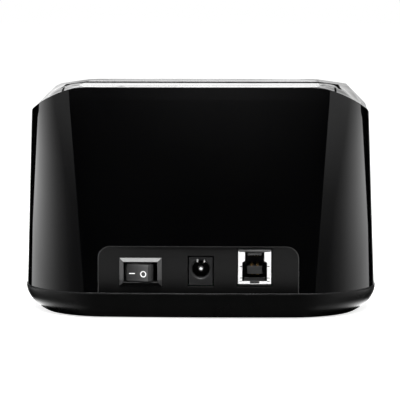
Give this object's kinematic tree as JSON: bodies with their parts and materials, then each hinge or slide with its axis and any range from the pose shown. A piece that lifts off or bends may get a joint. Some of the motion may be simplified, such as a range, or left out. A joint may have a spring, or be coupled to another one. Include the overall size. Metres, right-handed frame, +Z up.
{
  "type": "hard drive docking station",
  "caption": "Desktop dock for a bare hard drive: open-topped bay with a sprung dust flap over a socket, and a rear panel with a rocker switch, power jack and data port.",
  "frame": {"origin": "on the desk, under the middle of the dock's bounding box", "axes": "+Z up, the front faces -Y, the ports face +Y, +X runs along the width"},
  "size_m": [0.1306, 0.086, 0.084],
  "materials": {
    "gloss_black": "high gloss moulding",
    "satin_black": "satin moulding",
    "panel_black": "fine matt grain",
    "mould_black": "plain moulding",
    "nickel": "bright plate",
    "steel": "plain wire and screw steel",
    "contact_gold": "gold flash",
    "board_green": "solder mask",
    "chip_black": "moulded package",
    "chip_tan": "fired ceramic",
    "can_silver": "drawn can",
    "lead_red": "insulated lead",
    "lead_white": "insulated lead",
    "lamp_clear": "clear lens",
    "foot_rubber": "matt rubber"
  },
  "bodies": {
    "dock": {"upper_shell": "gloss_black", "hinge_cover": "gloss_black", "base_tray": "satin_black", "port_panel": "panel_black", "drive_guide": "mould_black", "sata_socket": "mould_black", "usb_insulator": "mould_black", "jack_body": "mould_black", "switch_housing": "mould_black", "usb_shell": "nickel", "jack_pin": "nickel", "jack_spring": "nickel", "switch_terminals": "nickel", "flap_rod": "steel", "flap_springs": "steel", "case_screws": "steel", "board_screws": "steel", "guide_screws": "steel", "crystal": "steel", "sata_contacts": "contact_gold", "usb_contacts": "contact_gold", "main_board": "board_green", "led_board": "board_green", "bridge_chip": "chip_black", "memory_chip": "chip_black", "power_inductors": "chip_black", "board_chips": "chip_tan", "filter_capacitors": "can_silver", "switch_leads": "lead_red", "led_leads": "lead_white", "status_led": "lamp_clear", "rubber_feet": "foot_rubber"},
    "flap": {"flap": "gloss_black"},
    "rocker": {"switch_rocker": "mould_black"}
  },
  "joints": [
    {"name": "flap_hinge", "type": "hinge", "parent": "dock", "child": "flap", "pos_m": [0, 0.0255, 0.0794], "axis": [1, 0, 0], "range_deg": [0, 90], "stiffness_Nm_per_rad": 0.004, "springref_deg": -28.65, "deforming": ["flap_springs"]},
    {"name": "rocker_hinge", "type": "hinge", "parent": "dock", "child": "rocker", "pos_m": [0.0209, 0.0378, 0.0172], "axis": [0, 0, 1], "range_deg": [0, 26]}
  ]
}
